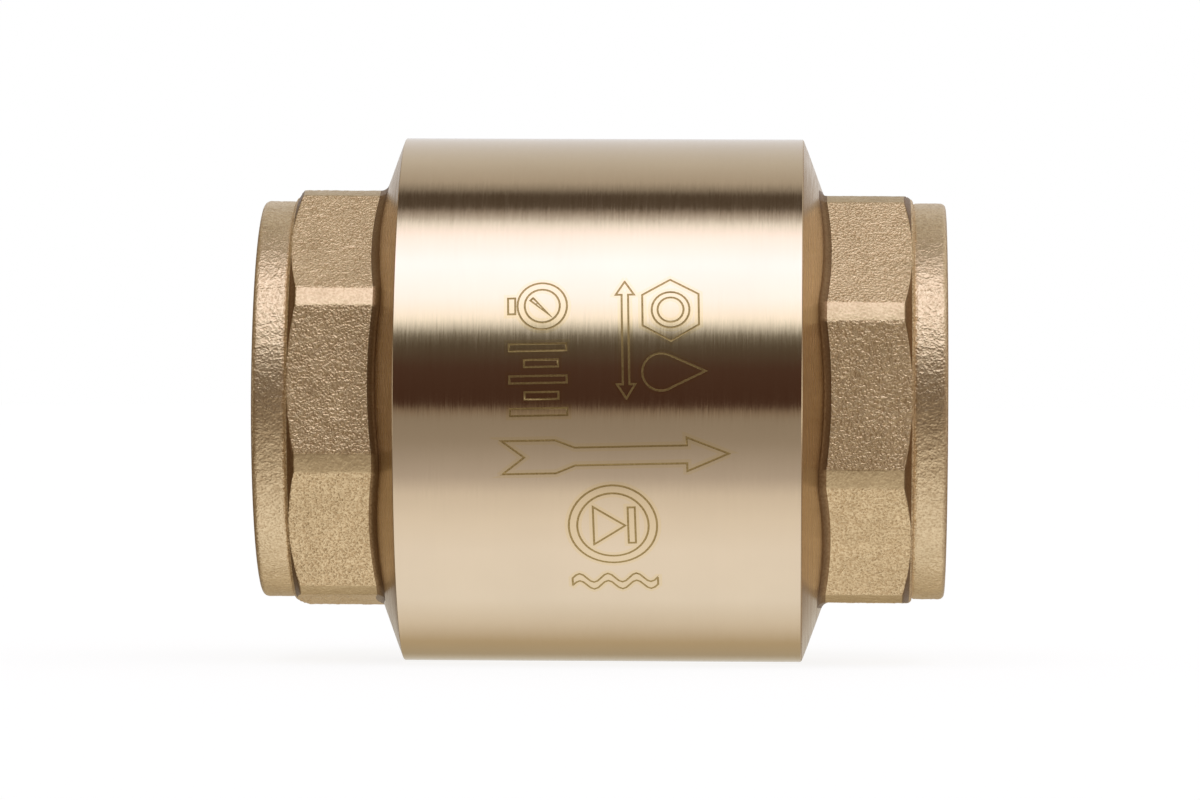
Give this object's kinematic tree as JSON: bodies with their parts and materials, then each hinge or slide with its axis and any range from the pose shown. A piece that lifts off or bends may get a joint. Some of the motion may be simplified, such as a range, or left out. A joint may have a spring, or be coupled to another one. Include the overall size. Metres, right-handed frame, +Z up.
{
  "type": "spring check valve",
  "caption": "In-line spring check valve: brass barrel with octagonal female-threaded ends and a guided, spring-loaded poppet with a soft seal.",
  "frame": {"origin": "on the flow axis, half way between the two port faces", "axes": "+X along the flow axis in the direction of flow, +Z up with the valve lying in a horizontal pipe run, the flow arrow on the -Y side"},
  "size_m": [0.054, 0.0414, 0.0414],
  "materials": {
    "body_brass": "turned barrel, as-forged ends",
    "trim_brass": "turned",
    "stainless_steel": "ground",
    "spring_steel": "drawn wire",
    "seal_rubber": "matte",
    "bush_plastic": "matte"
  },
  "bodies": {
    "valve_body": {"inlet_body": "body_brass", "outlet_cap": "body_brass", "body_seal_ring": "seal_rubber", "outlet_guide": "trim_brass", "guide_circlip": "stainless_steel", "guide_bush": "bush_plastic", "return_spring": "spring_steel"},
    "poppet": {"stem": "stainless_steel", "back_plate": "trim_brass", "seal_washer": "seal_rubber", "front_plate": "trim_brass", "lock_washer": "stainless_steel", "poppet_nut": "trim_brass"}
  },
  "joints": [
    {"name": "poppet_lift", "type": "slide", "parent": "valve_body", "child": "poppet", "axis": [1, 0, 0], "range_m": [0, 0.005], "stiffness_N_per_m": 260, "springref_m": -0.0028, "deforming": ["return_spring"]}
  ]
}
